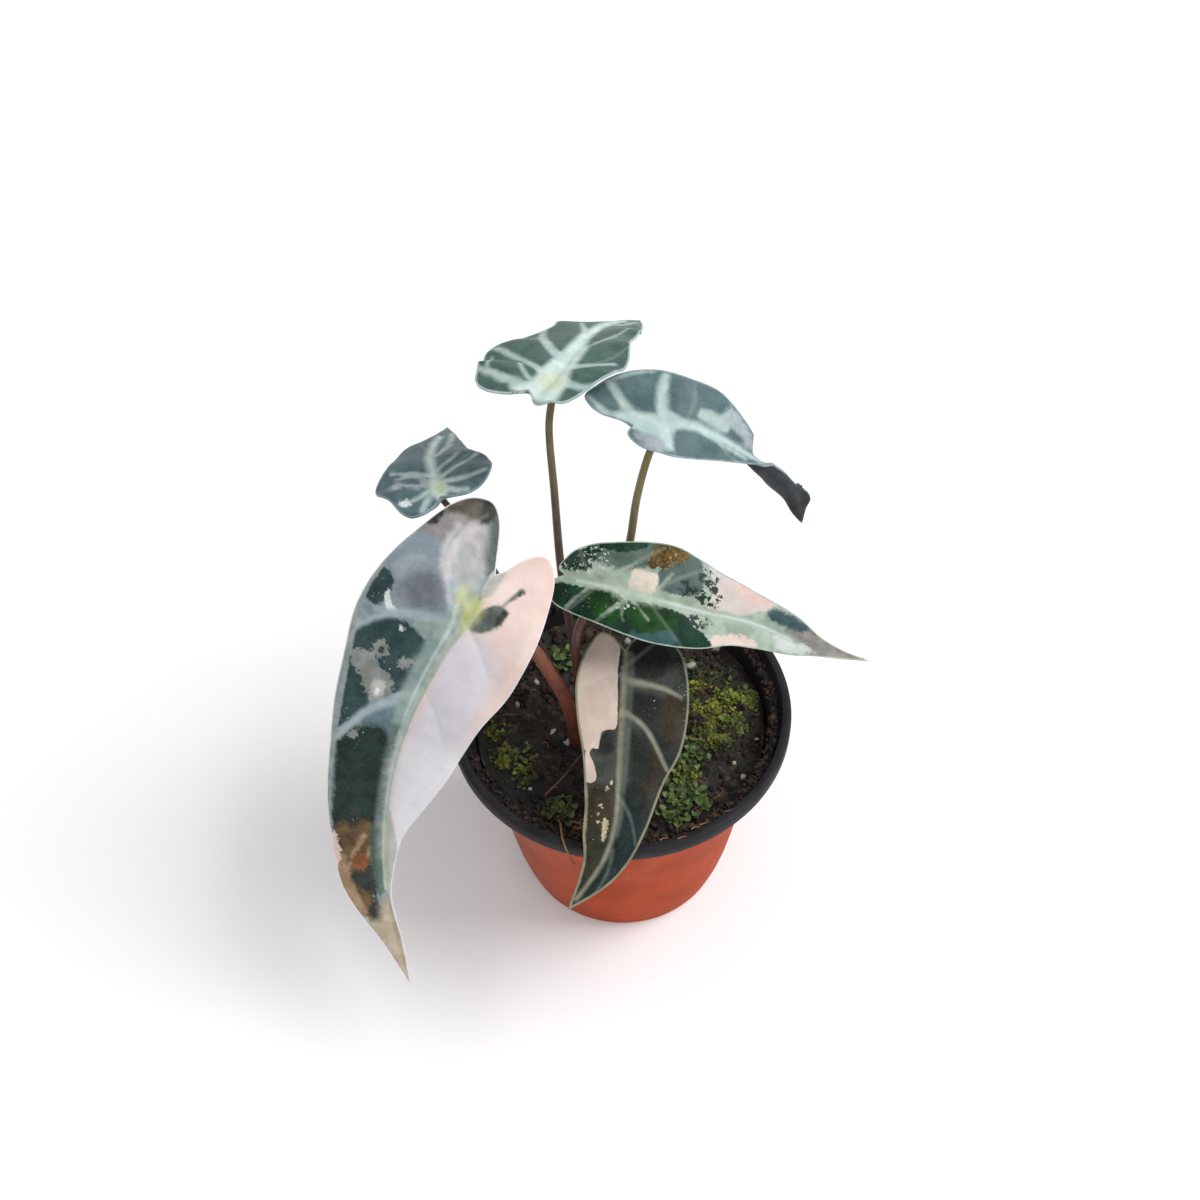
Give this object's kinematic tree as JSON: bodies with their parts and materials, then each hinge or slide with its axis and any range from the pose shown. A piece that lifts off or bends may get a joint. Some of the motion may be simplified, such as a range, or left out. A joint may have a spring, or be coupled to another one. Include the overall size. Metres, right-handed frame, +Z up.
{
  "type": "potted arrow-leaved house plant",
  "caption": "House plant with drooping, variegated arrow-shaped leaves on slender petioles, standing in soil in a thin tapered nursery pot.",
  "frame": {"origin": "centre of the pot's flat underside", "axes": "+Z up along the pot's axis, -Y the front that the front leaf hangs over, +X to the right"},
  "size_m": [0.1652, 0.1698, 0.1927],
  "materials": {
    "pot_plastic": "thin orange-brown plastic, satin, dark grey on the rim and inside",
    "soil": "dark, damp, crumbly peat with moss",
    "petiole": "smooth, waxy reddish-brown stalk",
    "blade": "satin leaf, dark green with pale veins and pink and cream patches, purple-brown below"
  },
  "bodies": {
    "root": {"pot": "pot_plastic", "potting_soil": "soil", "petiole_large_left": "petiole", "petiole_small_left": "petiole", "petiole_top_middle": "petiole", "petiole_top_right": "petiole", "petiole_right": "petiole", "petiole_front": "petiole", "leaf_large_left": "blade", "leaf_small_left": "blade", "leaf_top_middle": "blade", "leaf_top_right": "blade", "leaf_right": "blade", "leaf_front": "blade"}
  },
  "joints": []
}
